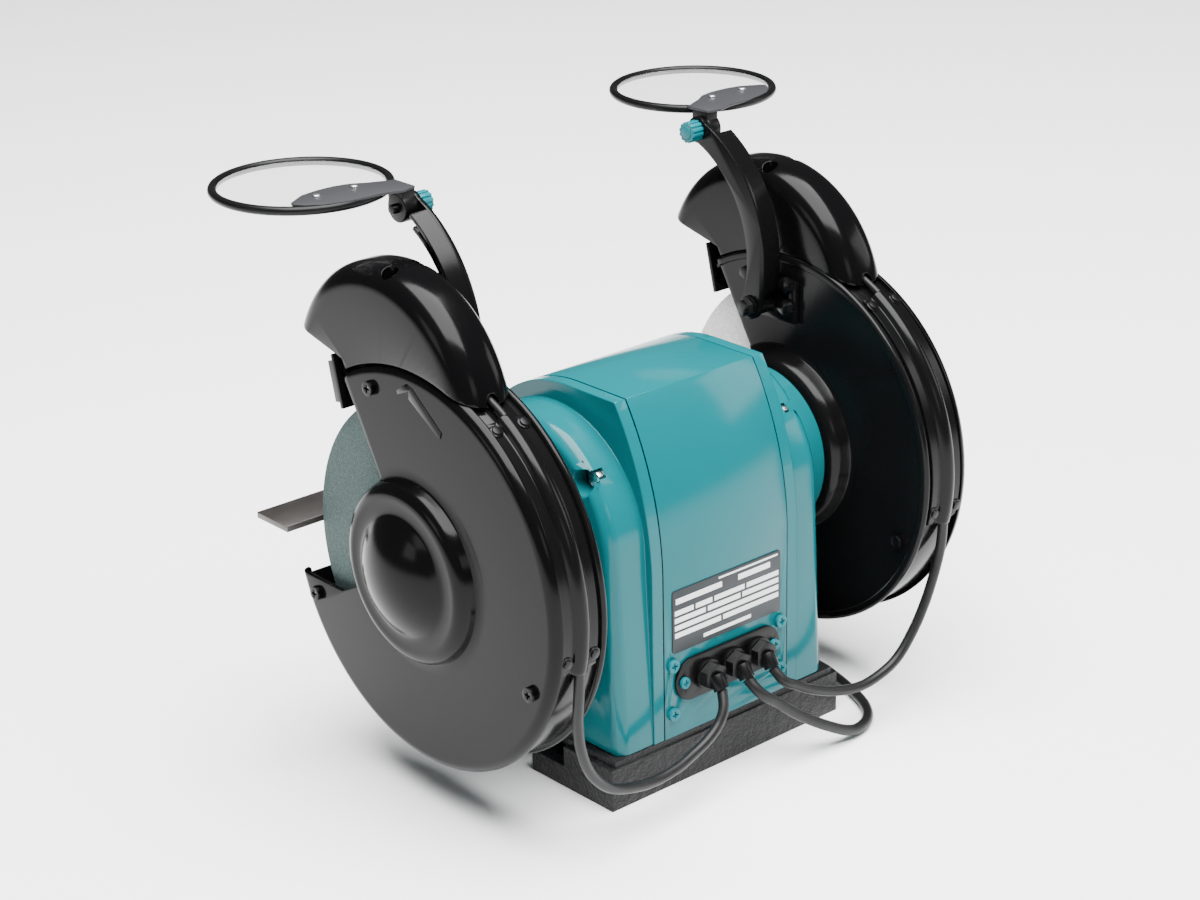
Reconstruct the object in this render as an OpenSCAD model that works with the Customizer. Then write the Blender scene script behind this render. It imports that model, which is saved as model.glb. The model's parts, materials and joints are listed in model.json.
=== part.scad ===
// Double-ended bench grinder. Shaft along X, operator at -Y, base on Z = 0.
// "right" is the +X side and "left" the -X side, as the operator sees them.

/* [Wheels] */
// Diameter of both grinding wheels
wheel_d = 205; // [150:1:215]
// Thickness of both grinding wheels
wheel_w = 19; // [13:0.5:23]
// Diameter of the wheel seats on the spindle
arbor_d = 15.88; // [12:0.01:18]
// Distance from the middle of the machine to the mid-plane of a wheel
wheel_x = 154.5; // [150:0.5:170]

/* [Guards] */
// Diameter over the rims of the wheel guards
guard_d = 250; // [244:1:280]
// Width of a wheel guard between its outer faces
guard_w = 40; // [38:0.5:48]
// Thickness of the guard sheets
guard_t = 3; // [2:0.5:4]
// Angle of the upper edge of the wheel opening, from the back, round the shaft
open_a = 120; // [112:1:126]
// Depth of the lower edge of the wheel opening below the shaft
open_z = 37.5; // [30:0.5:45]

/* [Body] */
// Height of the spindle above the bench
shaft_z = 155; // [150:1:185]
// Length of the motor housing between the end bells
housing_l = 104; // [96:1:112]
// Distance from the middle to the outer face of an end bell
bell_x = 88; // [84:0.5:92]
// Half depth of the body
body_y = 83; // [80:0.5:90]
// Height of the flat top of the body above the shaft
top_h = 90; // [86:0.5:96]

/* [Base] */
// Length of the base
base_l = 193; // [186:1:220]
// Depth of the base
base_w = 169; // [168:1:190]
// Height of the base
base_h = 31.6; // [28:0.1:36]
// Distance between the mounting holes along X
bolt_x = 168; // [160:1:172]
// Distance between the mounting holes along Y
bolt_y = 50; // [44:1:60]
// Diameter of the mounting holes
bolt_d = 9; // [6:0.5:11]

/* [Motor] */
// Outside diameter of the stator
stator_d = 124; // [110:1:126]
// Outside diameter of the rotor
rotor_d = 69.2; // [60:0.1:76]
// Length of the lamination stacks
stack_l = 70; // [56:1:74]
// Outside diameter of the bearings
bearing_d = 47; // [42:1:52]
// Bore of the bearings
journal_d = 20; // [18:1:22]

/* [Eye shields] */
// Outside diameter of the shield rings
ring_d = 110; // [90:1:116]
// Height of the shield pivots above the shaft
knob_h = 198; // [190:1:205]
// Radius of the curved arms
arm_r = 85; // [80:1:95]

/* [Lamps] */
// Radius of the crown of the lamp hoods
hood_r = 86; // [82:1:92]
// Width of the lamp hoods
hood_w = 39; // [34:0.5:39]

/* [Cords] */
// Diameter of the mains cord
cord_d = 7; // [6:0.5:9]
// Diameter of the lamp cords
lamp_cord_d = 6.5; // [5:0.5:8]
// Diameter of the coiled mains cord at the middle of its turns
coil_d = 80; // [70:1:100]

/* [Hidden] */
$fn = 64;
e = 0.01;
fit = 0.05;                       // radial clearance of a running fit
gap = 0.3;                        // clearance between pieces that move past each other
guard_r = guard_d / 2;
guard_mid = wheel_x - 2.5;
guard_out = guard_mid + guard_w / 2;
guard_in = guard_mid - guard_w / 2;
drum_r = guard_r - 3;             // outside of the drum wall
rim_w = 7;                        // depth of the rolled rim of the cover
drum_end = guard_out - guard_t;
plate_x = guard_in + 1;           // motor side of the inner disc
hub_x = guard_in - 14;            // end of an end bell's hub, where the guard is bolted on
hub_r = 54;
bulge_r = 57;                     // rim of the raised middle of the guard discs
dome_r = 36;
dome_h = 25;
dome_curve = 56;
low_a = -179 + asin(open_z / drum_r);
screw_r = guard_r - 14;           // circle of the cover screws
screw_a = [108, 205, -22];
mount_r = 35;                     // circle of the bolts that hold a guard to its end bell
mount_a = [30, 150, 270];
bell_in = housing_l / 2 + 0.3;
step_x = bell_in + 8.5;           // face of the rim of an end bell
seat_x = bell_x - 22;             // inner end of a bearing
bearing_w = 14;
race_t = 3.5;
ball_r = (bearing_d - journal_d) / 4 - race_t - fit / 2;
ball_c = journal_d / 2 + race_t + ball_r;
flange_d = 70;
flange_t = 6;
wheel_in = wheel_x - wheel_w / 2;
wheel_out = wheel_x + wheel_w / 2;
neck_d = 18;
neck_x = wheel_in - flange_t - 1;
nut_af = 24;
nut_t = 11;
spindle_end = wheel_out + flange_t + nut_t + 3;
tie_r = stator_d / 2 + 8;
tie_a = [42, 138, 222, 318];
tie_x = bell_x - 14;
wall = 8;                         // wall of the housing at its lower half
cell_top = shaft_z - stator_d / 2 - 4;
// body outline: a back arc up to the crease, a flat top and a round front
back_c = [-body_y - 37, shaft_z - 17.6];
back_r = 2 * body_y + 37;
front_c = [9, shaft_z - 2];
front_r = body_y + 9;
// lamp hood, its centre and its two cut planes
hood_c = [-30, shaft_z + 93];
hood_t = 2.5;
hood_corner = 15;
tail_a = 65;
conduit_a = [-13, 60];
conduit_r = 6.5;
conduit_screw_a = [conduit_a[0] + 4, conduit_a[1] - 3];
conduit_dir = [0, sin(conduit_a[0]), -cos(conduit_a[0])];
bulb_y = -46;
bulb_z = shaft_z + 141;
socket_y = -8;
// eye shield arm: an arc from the lower pivot to the knob
arm_c = [-92, shaft_z + 120];
arm_in = guard_in - 18;           // motor side of the arm web
arm_t = 3;
arm_w = 15;
arm_depth = 15;
bracket_holes = [[6, 107], [6, 92]];
arm_a = [-20, asin((knob_h - 120) / (arm_r - 1))];
pivot = [arm_c[0] + (arm_r - 1) * cos(arm_a[0]), arm_c[1] + (arm_r - 1) * sin(arm_a[0])];
knob = [arm_c[0] + (arm_r - 1) * cos(arm_a[1]), arm_c[1] + (arm_r - 1) * sin(arm_a[1])];
ear_x = arm_in + arm_t + gap;
ring_x = guard_mid + 6;
ring_y = knob[0] - ring_d / 2 + 4.5;
ring_z = knob[1] + 10;
ring_t = 5.5;
lens_t = 2.5;
clip_t = 1.3;
lens_lip = 2;                     // depth of the groove that holds the lens
bolt_r = 3;
// spark deflector: a slotted plate on the front end of the drum
defl_a = 13;                      // lean of the plate
defl_y = -65;
defl_z = shaft_z + 84;
defl_l = 33;
defl_w = 40;
defl_t = 2.5;
slot_l = 18;
slot_w = 5;
// tool rest
rest_gap = 4;                     // between the wheel and the rest
rest_y = -wheel_d / 2 - rest_gap;
rest_d = 32;
rest_l = 66;
rest_t = 4;
bracket_t = 5;
bracket_x = guard_in - bracket_t - 0.5;
leg_x = bracket_x - rest_t - gap;
rest_holes = [[-84, -50], [-79, -66]];
// wiring
gland_z = shaft_z - 88;
switch_y = -body_y;
pin_r = 1.6;                       // pin of the switch rocker
gland_x = [19, -2.5, -24];
gland_tilt = 55;
nose_l = 8;
plate_y = body_y + 2;
nose_y = plate_y + 13;
cap_r = 17;
// hand-chosen points of the cords, from the gland noses outwards
lamp_end = [guard_mid, (drum_r + 3) * cos(conduit_a[0]), shaft_z + (drum_r + 3) * sin(conduit_a[0])];
right_route = [[24, 105, 51], [31, 107, 43], [41, 108, 37], [53, 109, 33], [68, 111, 30], [88, 112, 29],
    [109, 113, 33], [125, 114, 40], [139, 115, 54], [148, 117, 73], [152, 119, 93], [152.5, 121, 110]];
left_route = [[-27, 106, 53], [-35, 108, 48], [-48, 110, 41], [-67, 112, 34], [-87, 114, 31], [-105, 115, 34],
    [-119, 116, 41], [-132, 117, 56], [-141, 118, 72], [-147, 119, 88], [-151, 120, 103], [-152, 121, 114]];
mains_route = [[-6, 107, 52], [-17, 110, 43], [-33, 114, 30], [-53, 118, 17], [-74, 119, 6.5], [-89, 116, 4.5],
    [-101, 108, 4], [-110, 96, 4], [-117, 80, 4], [-123, 62, 4], [-128, 40, 4], [-129, 8, 4], [-127, -26, 4],
    [-121, -60, 4], [-106, -94, 4], [-84, -113, 4], [-64, -119, 4.5]];
coil_c = [-26, -158];
coil_w = 14;
coil_h = 21;
plug_c = [66, -128];

// ---- helpers ----

function arc(c, r, a0, a1, n) =
    [for (i = [0:n]) let (a = a0 + (a1 - a0) * i / n) [c[0] + r * cos(a), c[1] + r * sin(a)]];

// a cylinder along X about the point (y, z)
module xcyl(r, x0, x1, y = 0, z = shaft_z)
    translate([x0, y, z]) rotate([0, 90, 0]) cylinder(r = r, h = x1 - x0);

// a cylinder along Y from y0 to y1
module ycyl(r, y0, y1, x, z)
    translate([x, y0, z]) rotate([-90, 0, 0]) cylinder(r = r, h = y1 - y0);

// a (y, z) outline extruded along X
module xplate(x0, x1)
    translate([x0, 0, 0]) rotate([90, 0, 90]) linear_extrude(x1 - x0) children();

// an (r, x) section turned about the shaft, or about (y, z), from angle a0 to a1
module xturn(a0 = 0, a1 = 360, y = 0, z = shaft_z)
    translate([0, y, z]) rotate([0, 90, 0]) rotate([0, 0, a0 + 90]) rotate_extrude(angle = a1 - a0)
        children();

// places children on a circle about the shaft, still upright
module on_circle(r, angles)
    for (a = angles) translate([0, r * cos(a), r * sin(a)]) children();

// right-hand work as it is, left-hand work mirrored
module side(s)
    mirror([s < 0 ? 1 : 0, 0, 0]) children();

module both()
    for (s = [1, -1]) side(s) children();

module xhex(af, x0, x1, y = 0, z = shaft_z)
    translate([x0, y, z]) rotate([0, 90, 0]) cylinder(d = af / cos(30), h = x1 - x0, $fn = 6);

// pan head of a machine screw along +X, with a cross recess
module xpan(r, h, x, y, z)
    difference() {
        xcyl(r, x, x + h, y, z);
        for (a = [0, 90]) translate([x + h, y, z]) rotate([a, 0, 0]) cube([h, r * 1.1, r * 0.3], center = true);
    }

module ypan(r, h, y, x, z)
    difference() {
        ycyl(r, y, y + h, x, z);
        for (a = [0, 90]) translate([x, y + h, z]) rotate([0, a, 0]) cube([r * 1.1, h, r * 0.3], center = true);
    }

// ---- cords ----

function unit(v) = v / norm(v);

function spline(p, i, t) =
    let (a = p[max(i - 1, 0)], b = p[i], c = p[i + 1], d = p[min(i + 2, len(p) - 1)])
    0.5 * (2 * b + (c - a) * t + (2 * a - 5 * b + 4 * c - d) * t * t + (3 * b - a - 3 * c + d) * t * t * t);

function smooth(p, k) =
    concat([for (i = [0:len(p) - 2]) for (j = [0:k - 1]) spline(p, i, j / k)], [p[len(p) - 1]]);

// a round tube along the points p; the ends are square to d0 and d1
module tube(p, r, d0, d1, sides = 8) {
    n = len(p);
    dirs = [for (i = [0:n - 1]) i == 0 ? d0 : i == n - 1 ? d1 : unit(p[i + 1] - p[i - 1])];
    rings = [for (i = [0:n - 1])
        let (side_v = unit(cross(dirs[i], [0.13, 0.21, 0.97])), up_v = cross(side_v, dirs[i]))
        for (k = [0:sides - 1]) p[i] + r * (cos(360 * k / sides) * side_v + sin(360 * k / sides) * up_v)];
    walls = [for (i = [0:n - 2]) for (k = [0:sides - 1])
        let (a = i * sides + k, b = i * sides + (k + 1) % sides) each [[a, b, a + sides], [b, b + sides, a + sides]]];
    polyhedron(rings, concat(walls, [[for (k = [sides - 1:-1:0]) k]],
        [[for (k = [0:sides - 1]) (n - 1) * sides + k]]), convexity = 6);
}

// ---- base and motor ----

module base_casting() {
    foot = 14;
    recess = [16, 80];
    color("#2b2c2e") difference() {
        union() {
            translate([-base_l / 2, -base_w / 2, 0]) cube([base_l, base_w, base_h - 4]);
            translate([-base_l / 2 + 4, -base_w / 2 + 1.5, 0]) cube([base_l - 8, base_w - 3, base_h]);
        }
        // stepped ends with two ears each
        both() {
            translate([base_l / 2 - recess[0], -recess[1] / 2, foot])
                cube([recess[0] + e, recess[1], base_h]);
            translate([base_l / 2 - recess[0], -10, -e]) cube([recess[0] + e, 20, foot + 1]);
        }
        for (x = [-1, 1], y = [-1, 1]) translate([x * bolt_x / 2, y * bolt_y / 2, -1])
            cylinder(d = bolt_d, h = foot + 2);
        // hollow underside
        translate([-base_l / 2 + 26, -base_w / 2 + 8, -e]) cube([base_l - 52, base_w - 16, base_h - 10]);
        translate([-40, -50, 0]) cube([80, 100, base_h + 1]);
    }
}

function body_pts(d) = let (zt = top_h + shaft_z - d) concat(
    [[body_y - d, base_h]],
    arc(back_c, back_r - d, 0, asin((zt - back_c[1]) / (back_r - d)), 16),
    arc(front_c, front_r - d + (zt - front_c[1] - front_r + d), 90, 180, 24),
    [[-body_y + d, base_h]]);

module motor_housing() color("#1b8c93") {
    difference() {
        xplate(-housing_l / 2, housing_l / 2) polygon(body_pts(0));
        xcyl(stator_d / 2, -housing_l, housing_l);
        on_circle(tie_r, tie_a) xcyl(3.3, -housing_l, housing_l);
        translate([-housing_l, -body_y + wall, base_h - 1])
            cube([2 * housing_l, 2 * (body_y - wall), cell_top - base_h + 1]);
        for (x = gland_x) ycyl(6, 0, body_y + 1, x, gland_z);
        for (x = [-1, 1]) ycyl(1.6, body_y - 6, body_y + 1, x * 38, gland_z);
        for (x = [-1, 1], z = [-19.5, 13]) ycyl(1.6, body_y - 6, body_y + 1, x * 45.5, gland_z + z);
        translate([-17, -body_y - 1, gland_z - 16]) cube([34, wall + 2, 32]);
    }
}

module boss_outline(d) {
    circle(r = bell_x - 11 - d);
    polygon([[-body_y + 1 + d, base_h - shaft_z], [body_y - 1 - d, base_h - shaft_z],
        [bell_x - 11 - d, 0], [-bell_x + 11 + d, 0]]);
}

module end_bell() {
    boss_out = bell_x - 6;
    difference() {
        union() {
            xplate(bell_in, step_x) polygon(body_pts(0));
            hull() {
                translate([0, 0, shaft_z]) {
                    xplate(step_x - 1, boss_out) boss_outline(0);
                    xplate(bell_x - 1, bell_x) boss_outline(5);
                }
            }
            xcyl(hub_r, bell_x - 1, hub_x - 3);
            xcyl(hub_r - 3, bell_x - 1, hub_x);
        }
        // winding space, bearing seat, shaft hole, tie bolts, lower cell
        xcyl(stator_d / 2 + 2, bell_in - 1, seat_x - 4);
        xcyl(bearing_d / 2, bell_in - 1, seat_x + bearing_w);
        xcyl(journal_d / 2 + 4, bell_in, hub_x + 1);
        xcyl(hub_r - 12, seat_x + bearing_w + 8, hub_x - 14);
        on_circle(tie_r, tie_a) {
            xcyl(3.3, bell_in - 1, bell_x);
            xcyl(7.5, tie_x, bell_x + 1);
        }
        on_circle(mount_r, mount_a) xcyl(3.4, hub_x - 15, hub_x + 1);
        translate([bell_in - 1, -body_y + wall, base_h - 1])
            cube([step_x + 12 - bell_in, 2 * (body_y - wall), cell_top - base_h + 1]);
    }
}

module end_bell_right() color("#1b8c93") end_bell();
module end_bell_left() color("#1b8c93") side(-1) end_bell();

module stator_core() color("#8d8f90") difference() {
    xcyl(stator_d / 2, -stack_l / 2, stack_l / 2);
    xcyl(rotor_d / 2 + 0.4, -stack_l, stack_l);
    for (a = [0:15:345]) translate([0, 0, shaft_z]) rotate([a, 0, 0])
        translate([-stack_l, -2, rotor_d / 2 + 2]) cube([2 * stack_l, 4, stator_d / 4 - rotor_d / 4 + 2]);
}

module stator_windings() color("#a9572b") both() xturn() difference() {
    translate([rotor_d / 2 + 4, stack_l / 2]) square([stator_d / 2 - rotor_d / 2 - 6, 13]);
    translate([stator_d / 2 - 6, stack_l / 2 + 9]) square([10, 5]);
}

module tie_bolts() color("#c9ccce") {
    on_circle(tie_r, tie_a) {
        xcyl(3, -tie_x - 7, tie_x);
        xhex(10, tie_x, tie_x + 4);
        xhex(10, -tie_x - 5, -tie_x);
    }
}

module race(r0, r1) both() xturn() translate([r0, seat_x]) square([r1 - r0, bearing_w]);

module bearing_outer_races() color("#b9bcbf") race(bearing_d / 2 - race_t, bearing_d / 2);
module bearing_inner_races() color("#b9bcbf") race(journal_d / 2, journal_d / 2 + race_t);

module bearing_balls() color("#d5d8da") both()
    on_circle(ball_c, [for (i = [0:7]) i * 45]) translate([seat_x + bearing_w / 2, 0, shaft_z]) sphere(r = ball_r);

// ---- rotating parts ----

module spindle() color("#a8abad") {
    xcyl(journal_d / 2 + 3, -seat_x, seat_x);
    both() {
        xcyl(journal_d / 2, seat_x - 1, seat_x + bearing_w);
        xcyl(neck_d / 2, seat_x, neck_x);
        xcyl(arbor_d / 2, neck_x - 1, spindle_end);
    }
}

module rotor_core() color("#7c7f82") difference() {
    union() {
        xcyl(rotor_d / 2, -stack_l / 2, stack_l / 2);
        xcyl(rotor_d / 2 - 3, -stack_l / 2 - 8, stack_l / 2 + 8);
    }
    xcyl(journal_d / 2 + 3, -stack_l, stack_l);
}

module wheel() difference() {
    xcyl(wheel_d / 2, wheel_in, wheel_out);
    xcyl(arbor_d / 2, wheel_in - 1, wheel_out + 1);
}

module wheel_right() color("#8fa8a3") wheel();
module wheel_left() color("#ecebe6") side(-1) wheel();

// dished washers that grip the wheel at their rims
module flange(x, way) difference() {
    xcyl(flange_d / 2, min(x, x + way * flange_t), max(x, x + way * flange_t));
    xcyl(flange_d / 2 - 8, min(x, x + way * 2), max(x, x + way * 2));
    xcyl(arbor_d / 2, x - 20, x + 20);
}

module flange_right_in() {
    flange(wheel_in, -1);
    difference() {
        xcyl(arbor_d / 2 + 8, wheel_in - 2, wheel_in);
        xcyl(arbor_d / 2, wheel_in - 3, wheel_in + 1);
    }
}

module flange_right_out() {
    flange(wheel_out, 1);
    difference() {
        xcyl(arbor_d / 2 + 8, wheel_out, wheel_out + 2);
        xcyl(arbor_d / 2, wheel_out - 1, wheel_out + 3);
    }
}

module inner_flanges() color("#9da0a2") both() flange_right_in();
module outer_flanges() color("#9da0a2") both() flange_right_out();

module spindle_nuts() color("#b5b8ba") both() difference() {
    xhex(nut_af, wheel_out + flange_t, wheel_out + flange_t + nut_t);
    xcyl(arbor_d / 2, wheel_out, spindle_end + 1);
}

// ---- wheel guards ----

// the wedge left open for the work, as a (y, z) outline about the shaft
module opening(inner) {
    far = guard_d;
    difference() {
        polygon([[0, 0], [far * cos(open_a), far * sin(open_a)], [-far, far * sin(open_a)], [-far, -open_z],
            [-0.6 * guard_r, -open_z], [-0.4 * guard_r, -open_z * 0.7]]);
        circle(r = inner);
    }
}

module wedge(x0, x1, inner = bulge_r) translate([0, 0, shaft_z]) xplate(x0, x1) opening(inner);

module guard_body() {
    difference() {
        union() {
            difference() {
                xturn() polygon([[journal_d / 2 + 4, hub_x], [bulge_r + guard_t, hub_x], [bulge_r + guard_t, plate_x],
                    [drum_r - 2, plate_x], [drum_r - 2, guard_in], [guard_r, guard_in], [guard_r, plate_x + guard_t],
                    [bulge_r, plate_x + guard_t], [bulge_r, hub_x + guard_t], [journal_d / 2 + 4, hub_x + guard_t]]);
                wedge(plate_x - 5, plate_x + 10, bulge_r + guard_t + 1);
            }
            xturn(low_a, open_a + 3) translate([drum_r - guard_t, plate_x + 1])
                square([guard_t, drum_end - plate_x - 1]);
            on_circle(screw_r, screw_a) xcyl(5, plate_x + 1, drum_end);
            // flange across the front end of the drum, for the spark deflector
            intersection() {
                translate([guard_mid, defl_y, defl_z]) rotate([defl_a, 0, 0])
                    translate([-guard_w / 2 + 5, defl_t, 4]) cube([guard_w - 10, 4, 26]);
                xcyl(drum_r - 1, guard_in, guard_out);
            }
        }
        on_circle(mount_r, mount_a) xcyl(3.4, hub_x - 1, hub_x + 10);
        on_circle(screw_r, screw_a) xcyl(2.1, plate_x - 1, drum_end + 1);
        translate([guard_mid, defl_y, defl_z]) rotate([defl_a, 0, 0])
            for (x = [-8.5, 8.5]) translate([x, 12, 8]) rotate([90, 0, 0]) cylinder(r = 1.6, h = 14);
        arm_bolts(2.6, plate_x - 1, plate_x + 6);
        rest_bolt_holes(2.6, plate_x - 1, plate_x + 6);
        for (z = conduit_screw_a) xturn_hole(z, 1.4);
    }
}

// radial holes for the conduit screws
module xturn_hole(a, r)
    for (x = [-10, 10]) translate([guard_mid + x, 0, shaft_z]) rotate([a, 0, 0])
        translate([0, drum_r - 6, 0]) rotate([-90, 0, 0]) cylinder(r = r, h = 12);

module guard_body_right() color("#1a1a1b") guard_body();
module guard_body_left() color("#1a1a1b") side(-1) guard_body();

// section of the cover: dome over the nut, raised ring, flat disc and rolled rim
cover_pts = concat(
    arc([0, dome_h - dome_curve], dome_curve, 90, acos(dome_r / dome_curve), 6),
    [[dome_r + 3, 10]], arc([bulge_r - 11, 1], 9, 90, 0, 5), [[bulge_r, 0], [guard_r - rim_w, 0]]);

module guard_cover() {
    difference() {
        translate([guard_out, 0, 0]) xturn() polygon(concat(cover_pts,
            arc([guard_r - rim_w, -rim_w], rim_w, 90, 0, 8),
            [[guard_r - guard_t, -rim_w], [guard_r - guard_t, -guard_t]],
            [for (i = [len(cover_pts) - 1:-1:0]) [cover_pts[i][0], cover_pts[i][1] - guard_t]]));
        wedge(guard_out - 10, guard_out + 1);
        on_circle(screw_r, screw_a) xcyl(2.4, drum_end - 1, guard_out + 1);
    }
}

module guard_cover_right() color("#141415") guard_cover();
module guard_cover_left() color("#141415") side(-1) guard_cover();

module guard_cover_screws() color("#3a3b3d") both() on_circle(screw_r, screw_a) {
    xcyl(2, plate_x - 4, guard_out);
    xpan(4.5, 3, guard_out, 0, shaft_z);
    xhex(7, plate_x - 4, plate_x);
}

module guard_bolts() color("#b5b8ba") both() on_circle(mount_r, mount_a) {
    xcyl(3.2, hub_x - 14, hub_x + guard_t);
    xhex(12, hub_x + guard_t, hub_x + guard_t + 5);
}

// ---- lamp wiring and lamps ----

module conduit() {
    difference() {
        union() {
            xturn(conduit_a[0], conduit_a[1]) translate([drum_r, guard_mid - 13]) square([2, 26]);
            xturn(conduit_a[0], conduit_a[1]) intersection() {
                translate([drum_r, guard_mid]) circle(r = conduit_r);
                translate([drum_r, guard_mid - 8]) square([10, 16]);
            }
        }
        xturn(conduit_a[0] - 1, conduit_a[1] + 1) translate([drum_r + 2, guard_mid]) circle(r = 3.3);
        for (a = conduit_screw_a) xturn_hole(a, 1.7);
    }
}

module conduit_right() color("#1d1d1e") conduit();
module conduit_left() color("#1d1d1e") side(-1) conduit();

module conduit_screws() color("#4a4b4d") both() for (a = conduit_screw_a, x = [-10, 10])
    translate([guard_mid + x, 0, shaft_z]) rotate([a, 0, 0]) {
        translate([0, drum_r - 4, 0]) rotate([-90, 0, 0]) cylinder(r = 1.3, h = 6);
        translate([0, drum_r + 2, 0]) rotate([-90, 0, 0]) cylinder(r = 3, h = 2);
    }

module hood_section(r, w, c) {
    translate([0, -w / 2]) square([r - c, w]);
    translate([0, -w / 2 + c]) square([r, w - 2 * c]);
    for (s = [-1, 1]) translate([r - c, s * (w / 2 - c)]) circle(r = c);
}

module hood_solid(d)
    translate([guard_mid, hood_c[0], hood_c[1]]) rotate([0, 90, 0]) rotate_extrude()
        hood_section(hood_r - d, hood_w - 2 * d, hood_corner - d);

// what lies above the mouth and in front of the tail
module hood_keep(a) {
    reach = 180;
    xplate(guard_in - 5, guard_out + 5) polygon([[-130, shaft_z + 132], [-62, shaft_z + 116], [0, shaft_z],
        [reach * cos(a), shaft_z + reach * sin(a)], [reach * cos(a), shaft_z + 220], [-130, shaft_z + 220]]);
}

module lamp_hood() difference() {
    intersection() {
        hood_solid(0);
        hood_keep(tail_a);
    }
    intersection() {
        hood_solid(hood_t);
        union() {
            hood_keep(tail_a + 2);
            xplate(guard_in - 5, guard_out + 5)
                polygon([[-140, shaft_z + 60], [-62, shaft_z + 60], [-62, shaft_z + 180], [-140, shaft_z + 180]]);
        }
    }
    xcyl(guard_r + fit, guard_in - 5, guard_out + 5);
    hood_screw_holes(1.8);
}

module lamp_hood_right() color("#161617") lamp_hood();
module lamp_hood_left() color("#161617") side(-1) lamp_hood();

// each hood is held by two screws that run down into lugs on the drum
module hood_screw_holes(r)
    for (x = [-11, 11]) translate([guard_mid + x, -22, shaft_z + drum_r - 3]) cylinder(r = r, h = 70);

module hood_screws() color("#6d6f72") both() for (x = [-11, 11]) translate([guard_mid + x, -22, 0]) {
    translate([0, 0, shaft_z + drum_r - 1]) cylinder(r = 1.8, h = hood_c[1] + hood_r - 14 - shaft_z - drum_r);
    translate([0, 0, hood_c[1] + hood_r - 15]) cylinder(r = 3.5, h = 3);
}

module lamp_sockets() color("#e8e4da") both() {
    ycyl(12, socket_y, socket_y + 26, guard_mid, bulb_z);
    translate([guard_mid - 7, socket_y + 4, shaft_z + drum_r]) cube([14, 16, 10]);
}

module lamp_bulbs() color("#f4f1e4") both() {
    translate([guard_mid, bulb_y, bulb_z]) sphere(r = 12);
    ycyl(6.5, bulb_y + 8, socket_y, guard_mid, bulb_z);
}

// ---- spark deflectors ----

module deflector_frame() translate([guard_mid, defl_y, defl_z]) rotate([defl_a, 0, 0]) children();

module deflector() deflector_frame() difference() {
    union() {
        translate([-defl_w / 2, 0, 0]) cube([defl_w, defl_t, defl_l]);
        translate([defl_w / 2 - defl_t, -4, 4]) cube([defl_t, 5, defl_l - 8]);
    }
    for (x = [-8.5, 8.5]) translate([x, -5, 0]) {
        translate([-slot_w / 2, 0, 7]) cube([slot_w, 10, slot_l]);
        for (z = [7, 7 + slot_l]) translate([0, 0, z]) rotate([-90, 0, 0]) cylinder(d = slot_w, h = 10);
    }
}

module deflector_right() color("#1c1c1d") deflector();
module deflector_left() color("#1c1c1d") side(-1) deflector();

module deflector_screws() color("#55575a") both() deflector_frame() for (x = [-8.5, 8.5]) {
    translate([x, 9, 8]) rotate([90, 0, 0]) cylinder(r = 1.5, h = 9 + gap);
    translate([x, -gap, 8]) rotate([90, 0, 0]) cylinder(r = 4.5, h = 2.5);
}

// ---- tool rests ----

module rest_bolt_holes(r, x0, x1)
    for (h = rest_holes) xcyl(r, x0, x1, h[0], shaft_z + h[1]);

module rest_brackets() color("#3b3c3e") both() difference() {
    xplate(bracket_x, plate_x) polygon([[-72, shaft_z - 66], [-82, shaft_z - 76], [-100, shaft_z - 58],
        [rest_y - 24, shaft_z - 30], [rest_y - 24, shaft_z - 10], [rest_y - 6, shaft_z - 10],
        [-80, shaft_z - 40]]);
    rest_bolt_holes(2.6, bracket_x - 1, plate_x + 1);
    xcyl(3.1, bracket_x - 1, plate_x + 1, rest_y - 15, shaft_z - 20);
    // room for the nut of a cover screw and for the bead of the guard
    on_circle(screw_r, [screw_a[1]]) xcyl(6, bracket_x - 1, plate_x + 1);
    xturn() translate([drum_r - 2.5, guard_in - gap]) square([6, 5]);
}

module tool_rest() {
    difference() {
        union() {
            translate([guard_mid - rest_l / 2 + 2.5, rest_y - rest_d, shaft_z - rest_t])
                cube([rest_l, rest_d, rest_t]);
            translate([leg_x, rest_y - rest_d, shaft_z - 30]) cube([rest_t, rest_d, 30]);
        }
        hull() for (y = [-22, -8]) xcyl(3.3, leg_x - 1, leg_x + rest_t + 1, rest_y + y, shaft_z - 20, $fn = 32);
    }
}

module tool_rest_right() color("#6b6764") tool_rest();
module tool_rest_left() color("#6b6764") side(-1) tool_rest();

module rest_bolts() color("#2a2b2d") both() {
    xcyl(3, leg_x - gap - 6, plate_x + 4, rest_y - 15, shaft_z - 20);
    xhex(10, plate_x, plate_x + 4, rest_y - 15, shaft_z - 20);
    xcyl(11, leg_x - gap - 10, leg_x - gap, rest_y - 15, shaft_z - 20);
    for (h = rest_holes) {
        xcyl(2.5, bracket_x - 3, plate_x + guard_t, h[0], shaft_z + h[1]);
        xhex(8, bracket_x - 4, bracket_x, h[0], shaft_z + h[1]);
    }
}

// ---- eye shields ----

module arm_bolts(r, x0, x1)
    for (h = bracket_holes) xcyl(r, x0, x1, h[0], shaft_z + h[1]);

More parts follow.
